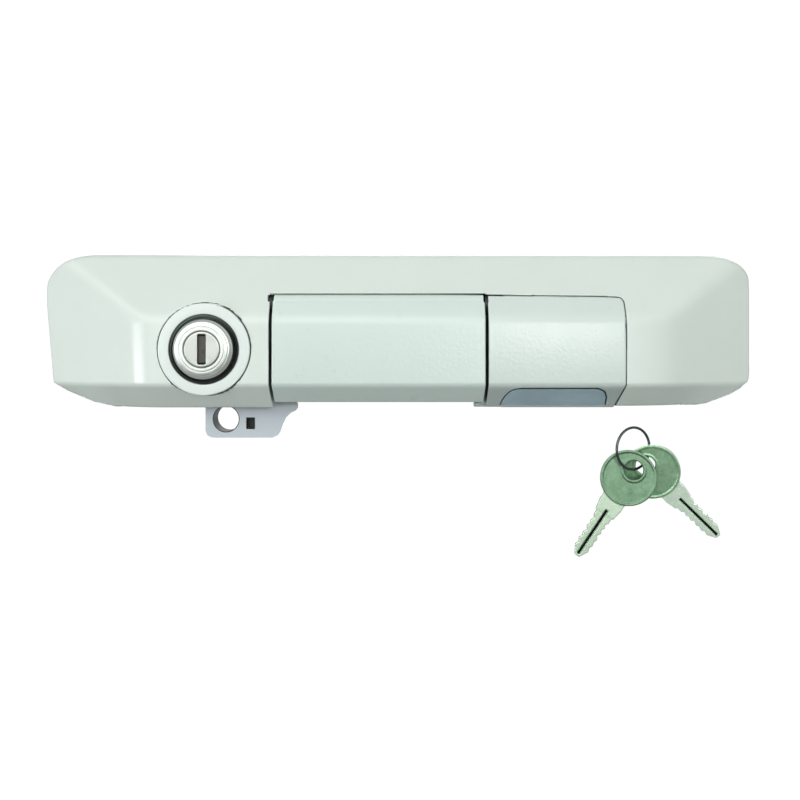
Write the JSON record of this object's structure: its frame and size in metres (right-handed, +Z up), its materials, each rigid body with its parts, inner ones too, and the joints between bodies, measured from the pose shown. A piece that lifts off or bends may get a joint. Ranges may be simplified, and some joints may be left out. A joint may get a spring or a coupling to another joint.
{
  "type": "locking lift handle bezel",
  "caption": "Long painted bezel with a lift-up paddle, keyed wafer lock, fixed camera-port cover, latch bellcranks behind it, and keys on a wire ring.",
  "frame": {"origin": "the middle of the gasket's top run, on its rear face, which is the mounting plane", "axes": "+X to the right seen from the front, +Z up, the front of the handle faces -Y"},
  "size_m": [0.3214, 0.0536, 0.1369],
  "materials": {
    "bezel_paint": "gloss white paint over moulded shell",
    "plug_grey_plastic": "satin grey",
    "carrier_paint": "satin white paint on pressed steel",
    "foam": "closed-cell foam",
    "black_plastic": "grained black",
    "pin_steel": "bright drawn steel",
    "spring_steel": "oiled spring steel",
    "zinc_screw": "clear zinc plate",
    "zinc_plate": "zinc plate with slight yellow passivation",
    "clip_nylon": "dark green nylon",
    "lock_nickel": "satin nickel plate",
    "shutter_steel": "dark stainless",
    "lock_brass": "machined brass",
    "key_nickel": "nickel plated key blank"
  },
  "bodies": {
    "bezel_frame": {"bezel": "bezel_paint", "rim_gasket": "foam", "hinge_pin": "pin_steel", "hinge_pin_clip": "spring_steel", "camera_cover": "bezel_paint", "camera_port_plug": "plug_grey_plastic", "finger_pan": "black_plastic", "pan_screw_left": "zinc_screw", "pan_screw_right": "zinc_screw", "cover_screw_left": "zinc_screw", "cover_screw_right": "zinc_screw", "carrier_plate": "carrier_paint", "carrier_screw_1": "zinc_screw", "carrier_screw_2": "zinc_screw", "carrier_screw_3": "zinc_screw", "slide_keeper": "zinc_plate", "crank_pivot_left": "pin_steel", "crank_pivot_right": "pin_steel", "lock_housing": "bezel_paint", "housing_screw_1": "zinc_screw", "housing_screw_2": "zinc_screw", "lock_well_ring": "black_plastic", "hinge_bush_left": "black_plastic", "hinge_bush_right": "black_plastic", "hinge_seal_left": "foam", "hinge_seal_right": "foam", "lock_barrel": "lock_nickel", "lock_retaining_clip": "spring_steel", "mount_stud_left": "zinc_screw", "mount_stud_right": "zinc_screw", "mount_nut_left": "zinc_screw", "mount_nut_right": "zinc_screw"},
    "paddle": {"lift_paddle": "bezel_paint", "paddle_lever": "zinc_plate", "lever_screw_left": "zinc_screw", "lever_screw_right": "zinc_screw", "paddle_spring": "spring_steel"},
    "crank_left": {"bellcrank_left": "zinc_plate", "rod_clip_left": "clip_nylon"},
    "crank_right": {"bellcrank_right": "zinc_plate", "rod_clip_right": "clip_nylon"},
    "plug": {"plug_face_cap": "lock_nickel", "lock_plug": "lock_brass", "shutter_pin": "pin_steel", "lock_pawl": "zinc_plate", "pawl_screw": "zinc_screw"},
    "shutter": {"dust_shutter": "shutter_steel"},
    "wafers": {"wafer_1": "lock_brass", "wafer_2": "lock_brass", "wafer_3": "lock_brass", "wafer_4": "lock_brass", "wafer_5": "lock_brass", "wafer_6": "lock_brass"},
    "slide": {"lock_slide": "zinc_plate"},
    "ring": {"key_ring": "pin_steel"},
    "left_key": {"key_left": "key_nickel"},
    "right_key": {"key_right": "key_nickel"}
  },
  "joints": [
    {"name": "handle_lift", "type": "hinge", "parent": "bezel_frame", "child": "paddle", "pos_m": [0, -0.01532, -0.0203], "axis": [1, 0, 0], "range_deg": [-35, 0], "stiffness_Nm_per_rad": 0.05, "deforming": ["paddle_spring"]},
    {"name": "crank_left_turn", "type": "hinge", "parent": "bezel_frame", "child": "crank_left", "pos_m": [-0.04, 0.0062, -0.0246], "axis": [0, 1, 0], "range_deg": [0, 38.5]},
    {"name": "crank_right_turn", "type": "hinge", "parent": "bezel_frame", "child": "crank_right", "pos_m": [0.023, 0.0062, -0.0246], "axis": [0, 1, 0], "range_deg": [-38.5, 0]},
    {"name": "lock_turn", "type": "hinge", "parent": "bezel_frame", "child": "plug", "pos_m": [-0.0844, 0, -0.04], "axis": [0, 1, 0], "range_deg": [0, 90]},
    {"name": "lock_slide_travel", "type": "slide", "parent": "bezel_frame", "child": "slide", "axis": [1, 0, 0], "range_m": [0, 0.0128]},
    {"name": "shutter_swing", "type": "hinge", "parent": "plug", "child": "shutter", "pos_m": [-0.0867, -0.029, -0.04], "axis": [0, 0, 1], "range_deg": [0, 80]},
    {"name": "wafer_drop", "type": "slide", "parent": "plug", "child": "wafers", "axis": [0, 0, -1], "range_m": [0, 0.0009]},
    {"name": "key_set_take", "type": "slide", "parent": "bezel_frame", "child": "ring", "axis": [0, -1, 0], "range_m": [0, 0.06]},
    {"name": "key_left_swing", "type": "hinge", "parent": "ring", "child": "left_key", "pos_m": [0.10656, -0.0066, -0.09455], "axis": [0, 1, 0], "range_deg": [-12, 13]},
    {"name": "key_right_swing", "type": "hinge", "parent": "ring", "child": "right_key", "pos_m": [0.11216, -0.003, -0.09185], "axis": [0, 1, 0], "range_deg": [-9, 12]}
  ],
  "couplings": [
    {"joint": "crank_left_turn", "follows": "handle_lift", "ratio": -1.1},
    {"joint": "crank_right_turn", "follows": "handle_lift", "ratio": 1.1},
    {"joint": "lock_slide_travel", "follows": "lock_turn", "m_per_rad": 0.0081028}
  ]
}
